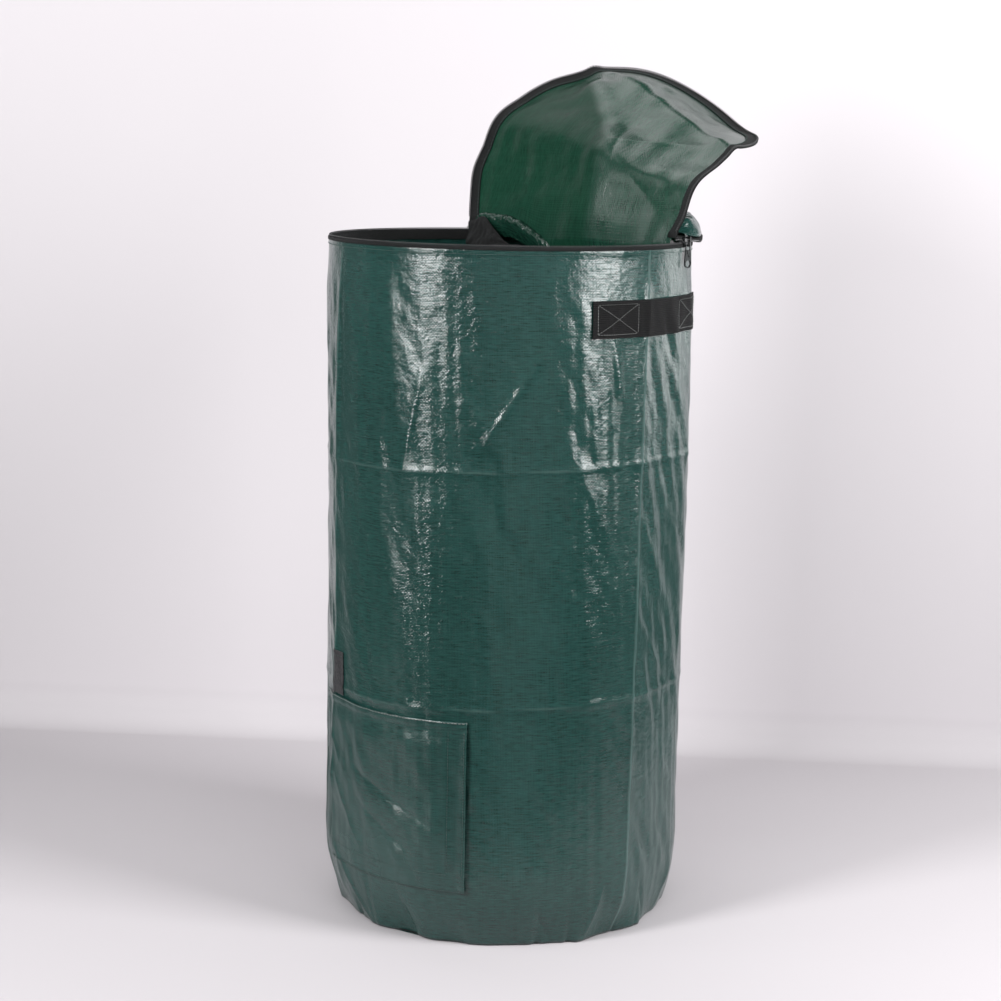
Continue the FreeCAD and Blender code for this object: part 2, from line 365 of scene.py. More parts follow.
def weave_height(cloth, pitch):
    """Plain weave of flat tapes."""
    x, y = grid_axes(cloth, pitch)
    parity = plus(calc("FLOOR", x), calc("FLOOR", y))
    over = calc("FLOORED_MODULO", parity, 2.0)
    warp, weft = ripple(x), ripple(y)
    return put("Mix", {0: over, 2: warp, 3: weft}, data_type="FLOAT").outputs[0]


WEAVE_PITCH = 0.0019
WEAVE_SHOWS = 0.45
# uneven warp, weft and short dashes of it: noise scale across and up the cloth, and how much each shows
UNEVEN_THREADS = ((480.0, 14.0, 0.375), (14.0, 480.0, 0.6), (75.0, 640.0, 1.5))
FILM_SPECULAR = 0.6
LOOSE_SPECULAR, TAUT_SPECULAR = 0.8, 0.1
LOOSE_GLOW, TAUT_GLOW = -0.10, 0.15      # change in the share of light let through
GLOW_TINT = (2.4, 2.2, 1.6)


def thread_tone(cloth, weave):
    """How light the threads are, from the weave and their unevenness."""
    tone = times(weave, WEAVE_SHOWS)
    for x, y, shows in UNEVEN_THREADS:
        uneven = noise(stretch(cloth, x, y), 1.0, 2.0)
        tone = plus(tone, times(uneven, shows))
    return tone


def film_normal(cloth, weave, relief):
    """Crumples, dimples and glints of the film over the weave."""
    glint = noise(stretch(cloth, 110.0, 540.0), 1.0, 1.0)
    layers = (
        (noise(cloth, 42.0, 3.0, 0.6), 0.0014 * relief),
        (noise(cloth, 230.0, 2.0, 0.5), 0.00032 * relief),
        (glint, 0.00010),
        (weave, 0.00008),
    )
    normal = None
    for height, depth in layers:
        normal = bump(height, depth, normal)
    return normal


def coated_sheet(name, colour, glow=0.0, gloss=(0.09, 0.17), relief=1.0):
    """Woven tapes under a glossy film, with crease wear. glow is the share of light let through."""
    material, tree = blank(name)
    cloth = cloth_place(tree)
    weave = weave_height(cloth, WEAVE_PITCH)
    threads = thread_tone(cloth, weave)
    patches = noise(cloth, 7.0, 3.0)
    shade = ramp(plus(threads, times(patches, 0.5)), 1.32, 2.10)
    base = mix_colour(shade, tinted(colour, 0.6), tinted(colour, 1.45, 0.004))
    wear = ramp(attribute(tree, "crease"), 0.1, 1.0, 0.0, 0.6)
    base = mix_colour(wear, base, tinted(colour, 1.9, 0.07))
    normal = film_normal(cloth, weave, relief)
    rough = ramp(patches, 0.3, 0.7, *gloss)
    if not glow:
        output(surface(base, rough, normal, Specular_IOR_Level=FILM_SPECULAR))
        return material
    taut = attribute(tree, "taut")
    specular = ramp(taut, 0.0, 1.0, LOOSE_SPECULAR, TAUT_SPECULAR)
    film = surface(base, rough, normal, Specular_IOR_Level=specular)
    share = ramp(taut, 0.0, 1.0, glow + LOOSE_GLOW, glow + TAUT_GLOW)
    lit = tuple(min(1.0, c * k) for c, k in zip(colour[:3], GLOW_TINT)) + (1.0,)
    lit = mix_colour(ramp(threads, 1.1, 1.8), tinted(lit, 0.5), lit)
    through = put("BsdfTranslucent", {"Color": lit, "Normal": normal}).outputs[0]
    both = put("MixShader", {0: share, 1: film, 2: through})
    output(both.outputs[0])
    return material


def ribbed(name, colour, rib, sheen, slant=0.0):
    """Woven tape or webbing: fine ribs along its length with slanted floats."""
    material, tree = blank(name)
    cloth = cloth_place(tree)
    along, across = grid_axes(cloth, rib)
    row = ripple(across)
    floats = ripple(plus(times(along, 1.7), times(across, 0.5 + slant)))
    height = times(row, plus(0.45, times(floats, 0.55)))
    dust = noise(cloth, 260.0, 3.0)
    shade = ramp(plus(height, dust), 0.4, 1.5)
    base = mix_colour(shade, tinted(colour, 0.5), tinted(colour, 1.5))
    output(surface(base, 0.75, bump(height, 0.0010), Specular_IOR_Level=0.25,
                         Sheen_Weight=sheen, Sheen_Roughness=0.4, Sheen_Tint=(0.8, 0.85, 0.9, 1.0)))
    return material


def fuzzy(name, colour):
    """Hook and loop pile."""
    material, tree = blank(name)
    cloth = cloth_place(tree)
    tuft = noise(cloth, 900.0, 4.0, 0.7)
    clump = noise(cloth, 150.0, 3.0, 0.6)
    pile = plus(times(tuft, 0.7), times(clump, 0.5))
    base = mix_colour(ramp(pile, 0.5, 0.85), colour, tinted(colour, 3.0))
    normal = bump(pile, 0.0015)
    output(surface(base, 0.95, normal, Sheen_Weight=0.12, Sheen_Roughness=0.5))
    return material


def plain(name, colour, roughness, metallic=0.0, scale=300.0):
    """Solid plastic, metal or thread with slight grain and wear."""
    material, tree = blank(name)
    place = source(tree, "TexCoord", "Object")
    grain = noise(place, scale, 4.0)
    base = mix_colour(ramp(grain, 0.35, 0.7), colour, tinted(colour, 1.5, 0.01))
    rough = ramp(grain, 0.3, 0.7, roughness - 0.08, roughness + 0.1)
    normal = bump(grain, 0.0003, strength=0.3)
    output(surface(base, rough, normal, Metallic=metallic))
    return material


GREEN = linear(17, 50, 46)
LID_GREEN = linear(17, 52, 41)
LOOKS = {
    "sheet": coated_sheet("coated_sheet", GREEN),
    "flap": coated_sheet("flap_sheet", GREEN, gloss=(0.20, 0.30), relief=0.55),
    "lid": coated_sheet("lid_sheet", LID_GREEN, glow=0.35, relief=0.6),
    "tape": ribbed("zip_tape", linear(16, 17, 17), 0.0009, 0.03),
    "webbing": ribbed("webbing", linear(9, 9, 10), 0.0022, 0.02, slant=1.2),
    "pile": fuzzy("hook_and_loop", linear(12, 12, 15)),
    "coil": plain("zip_coil", linear(38, 38, 39), 0.35),
    "metal": plain("zip_metal", linear(52, 54, 55), 0.3, metallic=0.8),
    "thread_light": plain("light_thread", linear(172, 178, 176), 0.7, scale=900.0),
    "thread_grey": plain("grey_thread", linear(94, 96, 95), 0.7, scale=900.0),
    "thread_dark": plain("dark_thread", linear(34, 54, 50), 0.6, scale=900.0),
}


# ---- the wall's shape ----

VERTICAL_FOLDS = (44.5, -66.0, 114.0, -132.5)
FOLD_LEVELS = (0.300, 0.585)
# flattened stretches of the wall beside two of the folds: where they start, how wide, how deep
FACETS = ((44.5, 32.0, 0.0042), (-66.0, -34.0, 0.0012))
# short slanting folds: (azimuth, height) of both ends, and how far they stand out
DRAG_FOLDS = (
    ((-7.0, 0.615), (10.0, 0.722), 0.0042),
    ((-34.0, 0.560), (-27.0, 0.700), 0.0022),
    ((20.0, 0.600), (33.0, 0.500), 0.0022),
    ((47.0, 0.520), (60.0, 0.420), 0.0022),
    ((48.0, 0.390), (66.0, 0.300), 0.0022),
    ((-74.0, 0.420), (-64.0, 0.320), 0.0022),
    ((30.0, 0.780), (38.0, 0.640), 0.0022),
)


def arc(az):
    return RADIUS * np.radians(az)


def fold_azimuth(middle, z):
    """The packing creases lean a little with height."""
    return middle + 5.0 * (z - 0.42)


def foot_radius(z):
    """Radius of the drawn-in foot below the straight wall."""
    t = np.clip(1 - z / FOOT_TAPER, 0, 1)
    return RADIUS - (RADIUS - FOOT_RADIUS) * t ** 1.7


def folds_relief(az, z, folds, width):
    """Slanting folds, each (azimuth, height) of both ends and how far it stands out."""
    relief = 0.0
    for (a0, z0), (a1, z1), height in folds:
        relief += fold(arc(az), z, (arc(a0), z0), (arc(a1), z1), height, width)
    return relief


# waves in the wall: height, seed, how many round the bag, how many a metre up it, how many are summed
WALL_WAVES = (
    (0.0014, 3, (2, 5), (0.2, 1.4), 9),
    (0.0010, 5, (6, 14), (0.3, 2.0), 9),
    (0.00050, 8, (14, 36), (2.0, 9.0), 14),
    (0.00022, 13, (24, 60), (8.0, 26.0), 18),
    (0.00020, 9, (40, 90), (0.3, 3.0), 12),
)


def handled(az):
    """1 on the two sides that are gripped most, where the sheet is more crumpled."""
    right = smooth((az - 42.0) / 8.0) * smooth((100.0 - az) / 20.0)
    left = smooth((-60.0 - az) / 10.0) * smooth((az + 120.0) / 20.0)
    return np.maximum(right, left)


def crease_distance(middle, az, z):
    """Distance from an upright packing crease, along the rim."""
    return np.abs(arc(az - fold_azimuth(middle, z)))


def level_drop(level, az, z):
    """Height above a level packing crease."""
    return z - level - 0.004 * np.sin(np.radians(az) * 2)


def wall_relief(az, z):
    """How far the sheet stands out from a true tube."""
    relief = 0.0012
    for height, *wave in WALL_WAVES:
        relief += height * round_waves(az, z, *wave)
    relief += handled(az) * 0.00055 * round_waves(az, z, 11, (20, 50), (5.0, 20.0), 16)
    for start, width, depth in FACETS:
        t = (az - fold_azimuth(start, z)) / width
        relief -= depth * np.sin(np.pi * np.clip(t, 0, 1))
    relief += folds_relief(az, z, DRAG_FOLDS, 0.007)
    for middle in VERTICAL_FOLDS:
        relief += 0.0022 * np.exp(-crease_distance(middle, az, z) / 0.007)
    for level in FOLD_LEVELS:
        relief += 0.0013 * np.exp(-np.abs(level_drop(level, az, z)) / 0.0035)
    return relief


# folds in the foot: (azimuth, height) of both ends and how far they stand out
FOOT_FOLDS = (
    ((-66.0, 0.085), (-50.0, 0.004), 0.0055),
    ((-84.0, 0.110), (-72.0, 0.010), 0.0030),
    ((-34.0, 0.050), (-30.0, 0.003), -0.0040),
    ((12.0, 0.045), (18.0, 0.003), -0.0036),
    ((34.0, 0.070), (29.0, 0.004), 0.0040),
    ((52.0, 0.060), (58.0, 0.004), -0.0045),
    ((78.0, 0.080), (70.0, 0.006), 0.0030),
)
# where the foot's outline turns a corner
FOOT_CORNERS = (-150.0, -112.0, -79.0, -47.0, -10.0, 27.0, 55.0, 84.0, 121.0, 158.0)


def foot_relief(az, z):
    """Puckers that run up from the base seam, and the foot's lean to one side."""
    pull = np.exp(-z / 0.035)
    pucker = round_waves(az, z, 21, (7, 22), (0.0, 4.0), 12)
    nicks = np.maximum(round_waves(az, z, 22, (18, 40), (0.0, 3.0), 8) - 0.8, 0)
    relief = (0.0022 * pucker - 0.0045 * nicks) * pull
    for corner in FOOT_CORNERS:
        off = (az - corner + 180.0) % 360.0 - 180.0
        relief += 0.0065 * np.exp(-np.abs(off) / 8.0) * np.exp(-(z / 0.045) ** 2)
    relief -= 0.0035 * smooth(1 - z / 0.06)
    relief += 0.0035 * np.sin(np.radians(az)) * smooth(1 - z / 0.120)
    return relief + folds_relief(az, z, FOOT_FOLDS, 0.006)


def wall_creases(az, z):
    """How worn and bent the sheet is here, 0 to 1."""
    worn = np.zeros(np.broadcast(az, z).shape)
    for middle in VERTICAL_FOLDS:
        worn = np.maximum(worn, np.exp(-(crease_distance(middle, az, z) / 0.0016) ** 2))
    for level in FOLD_LEVELS:
        worn = np.maximum(worn, 0.5 * np.exp(-(level_drop(level, az, z) / 0.0012) ** 2))
    return worn


def wall_radius(az, z):
    calm = smooth((WALL_TOP - z) / 0.09)
    return foot_radius(z) + wall_relief(az, z) * calm * smooth(z / 0.05) + foot_relief(az, z)


def on_wall(az, z, stand_off=0.0):
    """A point this far out from the face of the wall."""
    return around(wall_radius(az, z) + stand_off, az, z)


def stitches(az, z, stand_off, pitch, length, radius):
    """Stitches along a line on the wall."""
    az, z = np.broadcast_arrays(az, z)
    return dashes(on_wall(az, z, stand_off), outward(az), pitch, length, radius)


def on_bag(made, slot, *nodes):
    """A piece that stays with the bag, and the CAD nodes it stands for."""
    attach(made, "bag")
    if nodes:
        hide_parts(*nodes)


def at_hinge(made):
    """A piece beside the lid's hinge, with its placement baked into its points."""
    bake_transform(made)


def between(low, high, step, *extra):
    """Evenly spaced values with some exact ones among them."""
    values = np.linspace(low, high, max(2, int(round((high - low) / step)) + 1))
    return np.unique(np.concatenate([values, [e for e in extra if low < e < high]]).round(7))


def patch(name, azimuths, heights, stand_off, look, thickness):
    """A sheet lying on the wall. azimuths and heights are each two ends and a step."""
    a, z = np.meshgrid(between(*azimuths), between(*heights))
    off = stand_off(a, z) if callable(stand_off) else stand_off
    uv = pairs(arc(a), z)
    made = make(name, on_wall(a, z, off), grid_faces(*a.shape), look, uv, 0 * a)
    thicken(made, thickness)
    return made


OPENING = (FLAP_WEST + 6.6, FLAP_EAST - 6.6, FLAP_LOW + 0.024, FLAP_HIGH - 0.015)


def build_wall():
    west, east, low, high = OPENING
    azimuths = between(-200.0, 160.0, 0.55, west, east)[:-1]
    heights = between(0.0016, WALL_TOP, 0.0030, low, high)
    a, z = np.meshgrid(azimuths, heights)
    faces = grid_faces(len(heights), len(azimuths), wrap=True)
    middle_a = (a + 0.2).ravel()[faces[:, 0]]
    middle_z = (z + 0.0004).ravel()[faces[:, 0]]
    hole = (middle_a > west) & (middle_a < east) & (middle_z > low) & (middle_z < high)
    uv = pairs(arc(a), z)
    hem = 0.0006 * smooth((z - (WALL_TOP - 0.0075)) / 0.0008)
    points = on_wall(a, z, hem - 0.001)
    made = make("wall_sheet", points, faces[~hole], "sheet", uv, wall_creases(a, z))
    thicken(made, 0.001)
    on_bag(made, "green_sheet", "bag_wall")


def build_base():
    a, r, faces = ring_grid(180, np.linspace(0.0005, 0.1990, 60))
    x, y, _ = np.moveaxis(around(r, a, 0.0), -1, 0)
    dent = 0.0004 + 0.0004 * np.abs(waves(x, y, 31, 0.12))
    made = make("base_sheet", around(r, a, dent), faces, "sheet", pairs(x, y))
    thicken(made, 0.0007)
    on_bag(made, "green_sheet", "base_panel")


# section of the binding: (radius, height)
BINDING = np.array([
    (0.1975, 0.0024), (0.2004, 0.0025), (0.2008, 0.0032), (0.2002, 0.0039), (0.1976, 0.0040),
])


def build_base_binding():
    a, k, faces = ring_grid(480, np.arange(len(BINDING)))
    radius, height = BINDING[k, 0], BINDING[k, 1]
    pucker = 0.0003 * round_waves(a, 0.0, 33, (30, 60), (0, 0), 6)
    points = around(radius + pucker, a, height)
    made = make("base_binding_tape", points, faces, "tape", pairs(arc(a), radius + height))
    on_bag(made, "black_tape", "base_binding")


SEAM_WEST, SEAM_EAST = 157.4, 162.6
SEAM_LOW, SEAM_HIGH = 0.078, 0.830


def build_wall_seam():
    azimuths, heights = (SEAM_WEST, SEAM_EAST, 0.6), (SEAM_LOW, SEAM_HIGH, 0.006)
    made = patch("wall_seam_strip", azimuths, heights, 0.0004, "sheet", 0.0005)
    on_bag(made, "green_sheet", "wall_seam")
    z = np.linspace(SEAM_LOW + 0.002, SEAM_HIGH - 0.002, 300)
    rows = []
    for az in (SEAM_WEST + 0.7, SEAM_EAST - 0.7):
        rows.append(stitches(az, z, 0.0011, 0.0045, 0.0032, 0.0003))
    made = make("wall_seam_thread", *joined(rows), "thread_dark")
    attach(made, "bag")


# ---- rim: hem thread, tape, coil ----

def build_rim_thread():
    a = np.linspace(-180, 180, 1441)
    row = stitches(a, WALL_TOP - 0.0070, 0.0005, 0.0036, 0.0028, 0.00035)
    made = make("rim_hem_thread", *row, "thread_dark")
    on_bag(made, "thread", "rim_stitching")


# section of the rim's tape: (radius, height) from the bag's radius and rim, without its lower edge
RIM_SECTION = (
    (-0.0012, -0.0010), (-0.0002, 0.0004), (0.0008, -0.0022), (0.0012, -0.0022), (0.0012, 0.0010),
    (-0.0006, 0.0020), (-0.0019, 0.0012),
)


def build_rim_tape():
    section = [(RADIUS + r, WALL_TOP + z) for r, z in RIM_SECTION]
    edge = (RADIUS - 0.0019, TAPE_LOW)
    section = np.array([edge, (RADIUS - 0.0012, TAPE_LOW)] + section + [edge])
    a, k, faces = ring_grid(480, np.arange(len(section)))
    radius, height = section[k, 0], section[k, 1]
    hanging = height < WALL_TOP - 0.003
    wander = 0.0004 * round_waves(a, 0.0, 41, (8, 30), (0, 0)) * hanging
    points = around(radius - np.abs(wander), a, height + 0.5 * wander)
    made = make("rim_tape", points, faces, "tape", pairs(arc(a), height))
    on_bag(made, "black_tape", "rim_zip_tape")


def build_rim_teeth():
    made = make("rim_teeth", *coil_helix(RIM_COIL, 1), "coil")
    on_bag(made, "zip_coil", "rim_zip_coil")


COIL_PITCH = 0.0030
COIL_STEPS = 11                # points in one turn of the wire


def coil_helix(level_span, hand):
    """The zip's moulded coil: one wire wound along the rim."""
    turns = arc(360) / COIL_PITCH
    t = np.linspace(0, 1, int(turns * COIL_STEPS))
    winding = 2 * np.pi * turns * t * hand
    az = -180 + 360 * t + np.degrees(0.0007 / RADIUS) * np.sin(2 * winding)
    level = sum(level_span) / 2 + 0.00085 * np.sin(winding)
    path = around(COIL_RADIUS + 0.0010 * np.cos(winding), az, level)
    return tubes(path[None], 0.00048)


# ---- handles ----

def strap_span(turn):
    return HANDLE[0] + turn, HANDLE[3] + turn


def strap_lift(az, z, turn):
    """The strap lies on the wall at its sewn ends and stands off between them."""
    start, end = HANDLE[1] + turn, HANDLE[2] + turn
    t = np.clip((az - start) / (end - start), 0, 1)
    belly = 0.0014 * np.sin(np.pi * t) ** 0.7
    across = (z - WEB_LOW) / (WEB_HIGH - WEB_LOW)
    curl = 0.0005 * np.sin(np.pi * t) * (2 * across - 1) ** 2
    first, last = strap_span(turn)
    doubled = np.minimum(az - first, last - az) < 1.7
    return 0.0004 + belly + curl + 0.0009 * doubled


def build_strap(side, turn):
    first, last = strap_span(turn)
    middle = (HANDLE[1] + HANDLE[2]) / 2 + turn
    centre = (WEB_LOW + WEB_HIGH) / 2
    heights = (WEB_LOW, WEB_HIGH, 0.0016)
    halves = (("a", first, middle, HANDLE[1] + turn), ("b", middle, last, HANDLE[2] + turn))
    for tag, west, east, seam in halves:
        name = "handle_" + side + "_strap_" + tag
        made = patch(name, (west, east, 0.35), heights, lambda a, z: strap_lift(a, z, turn),
                     "webbing", 0.0014)
        start, end = on_wall(seam, centre).tolist(), on_wall(middle, centre).tolist()
        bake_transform(made)
        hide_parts("handle_" + side + "_grip", "handle_" + side + "_ends")


def build_box_stitches(side, turn):
    """A sewn box with a cross in it at each end of the strap."""
    rows = []
    low, high = WEB_LOW + 0.0045, WEB_HIGH - 0.0045
    for first, last in ((HANDLE[0] + 1.6, HANDLE[1] - 0.6), (HANDLE[2] + 0.6, HANDLE[3] - 1.6)):
        west, east = first + turn, last + turn
        path = [(west, low), (east, low), (east, high), (west, high)]
        path += [(west, low), (east, high), (west, high), (east, low)]
        for (a0, z0), (a1, z1) in zip(path, path[1:]):
            a, z = np.linspace(a0, a1, 60), np.linspace(z0, z1, 60)
            rows.append(stitches(a, z, strap_lift(a, z, turn) + 0.0015, 0.0034, 0.0025, 0.00036))
    made = make("handle_" + side + "_thread", *joined(rows), "thread_grey")
    on_bag(made, "thread", "handle_" + side + "_stitching")


# ---- harvest flap ----

FLAP_OFF = 0.0016
FLAP_WRINKLES = (
    ((-52.0, 0.205), (-20.0, 0.150), -0.0022),
    ((-50.0, 0.165), (-26.0, 0.108), -0.0022),
    ((-66.0, 0.190), (-50.0, 0.105), 0.0022),
)
FLAP_CORNER_WRINKLE = (((-74.0, 0.270), (-62.0, 0.200), 0.0020),)


def flap_lift(az, z):
    """Loose lie of the flap: free right edge, hemmed top, drag wrinkles."""
    off = FLAP_OFF + 0.0028 * smooth((az - (FLAP_EAST - 3.0)) / 3.0) * smooth((FLAP_HIGH - z) / 0.03)
    off += 0.0006 * smooth((z - (FLAP_HIGH - 0.008)) / 0.0008)
    inner = smooth((FLAP_HIGH - 0.012 - z) / 0.02) * smooth((FLAP_EAST - 5 - az) / 6)
    inner *= smooth((az - FLAP_WEST - 5) / 5) * smooth((z - FLAP_LOW - 0.02) / 0.02)
    wrinkle = folds_relief(az, z, FLAP_WRINKLES, 0.006)
    wrinkle += folds_relief(az, z, FLAP_CORNER_WRINKLE, 0.004)
    crumple = 0.0009 * waves(arc(az), z, 51, 0.09) + 0.0002 * waves(arc(az), z, 52, 0.03)
    return off + np.maximum(wrinkle + 0.0016 + crumple, 0) * inner


def flap_piece(made, slot, *nodes):
    low, high = FLAP_HIGH - 0.045, FLAP_HIGH - 0.002
    start = around(RADIUS, FLAP_MIDDLE, high).tolist()
    around(RADIUS, FLAP_MIDDLE, low).tolist()
    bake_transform(made)
    if nodes:
        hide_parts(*nodes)


def flap_row(az, z, stand_off, *stitch):
    """Stitches along a line on the flap."""
    return stitches(az, z, flap_lift(az, z) + stand_off, *stitch)


def build_flap():
    azimuths, heights = (FLAP_WEST, FLAP_EAST, 0.5), (FLAP_LOW, FLAP_HIGH, 0.0018)
    made = patch("flap_sheet", azimuths, heights, flap_lift, "flap", 0.0008)
    flap_piece(made, "green_sheet", "flap_panel")


def build_flap_threads():
    hem = np.linspace(FLAP_WEST + 0.5, FLAP_EAST - 0.5, 400)
    row = flap_row(hem, FLAP_HIGH - 0.0014, 0.001, 0.0046, 0.0034, 0.00042)
    made = make("flap_hem_thread", *row, "thread_grey")
    flap_piece(made, "thread", "flap_stitching")
    side = math.degrees(0.0225 / RADIUS)
    z = np.linspace(FLAP_LOW + 0.022, FLAP_HIGH - 0.010, 200)
    a = np.linspace(FLAP_WEST + side, FLAP_EAST - side, 300)
    upright = (FLAP_WEST + side, FLAP_EAST - side, FLAP_EAST - 0.8, FLAP_WEST + 0.8)
    lines = [(az, z) for az in upright]
    lines += [(a, height) for height in (FLAP_LOW + 0.022, FLAP_LOW + 0.0015)]
    rows = [flap_row(az, height, 0.0009, 0.0034, 0.0027, 0.00032) for az, height in lines]
    made = make("flap_edge_thread", *joined(rows), "thread_dark")
    flap_piece(made, "thread")


def build_strips():
    """Loop strips on the wall and hook strips inside the flap."""
    side, edge = math.degrees(0.0205 / RADIUS), math.degrees(0.0020 / RADIUS)
    low = FLAP_LOW + 0.002
    spans = {
        "left": (FLAP_WEST + edge, FLAP_WEST + side, low + 0.0205, FLAP_HIGH - 0.016),
        "right": (FLAP_EAST - side, FLAP_EAST - edge, low + 0.0205, FLAP_HIGH - 0.016),
        "bottom": (FLAP_WEST + edge, FLAP_EAST - edge, low, low + 0.0200),
    }
    for place, (west, east, bottom, top) in spans.items():
        azimuths, heights = (west, east, 0.8), (bottom, top, 0.0035)
        made = patch("loop_pile_" + place, azimuths, heights, 0.0001, "pile", 0.0006)
        on_bag(made, "hook_and_loop", "loop_strip_" + place)
        made = patch("hook_pile_" + place, azimuths, heights, 0.0009, "pile", 0.0005)
        flap_piece(made, "hook_and_loop", "hook_strip_" + place)


def keeper_pile(az, z):
    return 0.0002 + 0.0005 * np.abs(waves(arc(az), z, 61, 0.004, 14))


def build_keeper():
    azimuths, heights = (KEEPER_WEST, KEEPER_EAST, 0.22), (KEEPER_LOW, KEEPER_HIGH, 0.0009)
    made = patch("keeper_pile", azimuths, heights, keeper_pile, "pile", 0.0006)
    on_bag(made, "hook_and_loop", "keeper_strip")
    a = np.linspace(KEEPER_WEST + 0.4, KEEPER_EAST - 0.4, 30)
    row = stitches(a, KEEPER_HIGH - 0.006, 0.0014, 0.003, 0.0024, 0.0003)
    made = make("keeper_thread", *row, "thread_dark")
    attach(made, "bag")


# ---- lid: made shut and flat, then folded back ----

def unit(vector):
    vector = np.asarray(vector, float)
    return vector / np.linalg.norm(vector)


UP = np.array([0.0, 0.0, 1.0])


def lid_folds():
    """Position, axis and opening angle of each fold, with the lid shut."""
    hinge = JOINTS["lid_hinge"]
    shut = math.radians(hinge["range_deg"][0])
    couple = {c["joint"]: c["ratio"] for c in frame["record"]["behaviour"]["couplings"]}
    folds, undo = {}, []
    for name in ("lid_hinge", "lid_fold", "lid_curl"):
        pos, axis = np.array([JOINTS[name]["pos_m"]]), unit(JOINTS[name]["axis"])
        angle = -shut * couple.get(name, 1.0)
        rest = (pos[0].copy(), axis.copy())
        for p, x, a in reversed(undo):
            axis = unit(rotated(pos + axis, p, x, -a)[0] - rotated(pos, p, x, -a)[0])
            pos = rotated(pos, p, x, -a)
        folds[name] = (pos[0], axis, angle)
        undo.append((rest[0], rest[1], angle))
    return folds


FOLDS = lid_folds()
HINGE_POS, HINGE_AXIS, _ = FOLDS["lid_hinge"]
FORWARD = np.cross(UP, HINGE_AXIS)
ACROSS = -HINGE_AXIS
FOLD_POS, FOLD_AXIS, _ = FOLDS["lid_fold"]
FOLD_FORWARD = np.cross(UP, FOLD_AXIS)
RIDGE_POS, RIDGE_AXIS, _ = FOLDS["lid_curl"]
HINGE_TO_AXIS = -float(HINGE_POS @ FORWARD)
TIP_STARTS, MAIN_STARTS = -0.018, -0.0425     # distance in front of the outer and the middle fold
RIDGE_FORWARD = np.cross(UP, RIDGE_AXIS)


def reach(points):
    """Distance in front of the hinge, and along it, of points of the shut lid."""
    rel = points - HINGE_POS
    return rel @ FORWARD, rel @ ACROSS


def lid_places(ahead, across, height):
    """Points this far in front of the hinge, along it and above it, on the shut lid."""
    points = HINGE_POS + ahead[..., None] * FORWARD + across[..., None] * ACROSS
    return points + height[..., None] * UP


def lid_zone(points):
    """0 for the back and root of the shut lid, 1 for its main part, 2 for its tip."""
    past_fold = (points - FOLD_POS) @ FOLD_FORWARD
    past_ridge = (points - RIDGE_POS) @ RIDGE_FORWARD
    return np.where(past_ridge > TIP_STARTS, 2, np.where(past_fold > MAIN_STARTS, 1, 0))


# for each zone: its fold, the two bodies, and where the bend starts and ends, given as
# distances in front of the fold and above the lid
ZONES = (
    ("root", "lid_hinge", "bag", "lid_root", (0.0, 0.0), (0.003, 0.006)),
    ("main", "lid_fold", "lid_root", "lid_main", (-0.0363, -0.0111), (0.0440, 0.0134)),
    ("tip", "lid_curl", "lid_main", "lid_tip", (-0.0112, -0.0044), (0.0112, 0.0044)),
)


def zone_line(zone):
    """Bend start and end points of a zone, beside its fold on the shut lid."""
    _, fold_name, _, _, *ends = ZONES[zone]
    pos, axis, _ = FOLDS[fold_name]
    return [pos + np.cross(UP, axis) * ahead + UP * above for ahead, above in ends]


def carried(points, zone):
    """Points of the shut lid turned with the folds nearer the hinge than this zone's."""
    for _, fold_name, *_ in reversed(ZONES[:zone]):
        points = rotated(points, *FOLDS[fold_name])
    return points


HALVINGS = 36


def folded(points, zone):
    """Where points of the shut lid lie at rest, so that shutting the lid brings them back."""
    pos, axis, angle = FOLDS[ZONES[zone][1]]
    start, end = zone_line(zone)
    d = end - start
    low, high = np.zeros(len(points)), np.ones(len(points))
    for _ in range(HALVINGS):
        share = (low + high) / 2
        moved = rotated(points, pos, axis, share * angle)
        weight = smooth(((moved - start) @ d) / (d @ d))
        short = share < weight
        low, high = np.where(short, share, low), np.where(short, high, share)
    return carried(rotated(points, pos, axis, (low + high) / 2 * angle), zone)


def vertex_normals(points, faces):
    corner = points[faces]
    normal = np.cross(corner[:, 2] - corner[:, 0], corner[:, 3] - corner[:, 1])
    total = np.zeros_like(points)
    for k in range(faces.shape[1]):
        np.add.at(total, faces[:, k], normal)
    return total / (np.linalg.norm(total, axis=1, keepdims=True) + 1e-15)


def hinge_dip(points):
    """How far the loose sheet sags into the mouth beside the hinge."""
    s, t = reach(points)
    along = smooth((t + 0.135) / 0.090) * np.clip(1 - (np.abs(t) / 0.212) ** 4, 0, 1)
    return 0.030 * along * np.exp(-(s / 0.025) ** 2)


# how the lid settles under its own weight: (reach, across) of the place on the shut lid,
# how far round it the effect spreads, and the shift
SETTLING = (
    ((0.125, -0.215), 0.058, (0.0020, 0.0, -0.0070)),
    ((0.075, -0.222), 0.030, (-0.0035, 0.0, 0.0)),
    ((0.262, -0.134), 0.045, (-0.0040, 0.0, -0.0110)),
    ((0.312, -0.050), 0.075, (0.0, 0.0, 0.0090)),
    ((0.290, 0.110), 0.060, (0.0, 0.0, -0.0090)),
    ((0.080, 0.224), 0.048, (-0.0075, 0.0, 0.0)),
)


def settled(rest, s, t):
    moved = np.array(rest)
    for (s0, t0), spread, shift in SETTLING:
        share = np.exp(-((s - s0) ** 2 + (t - t0) ** 2) / spread ** 2)
        moved += share[:, None] * np.array(shift)
    return moved


POUT_OUT = 0.013
POUT_TILT = 0.00032            # rise per degree round the rim


def pout_share(az):
    return smooth((az - 69.0) / 9.0) * smooth((114.0 - az) / 20.0)


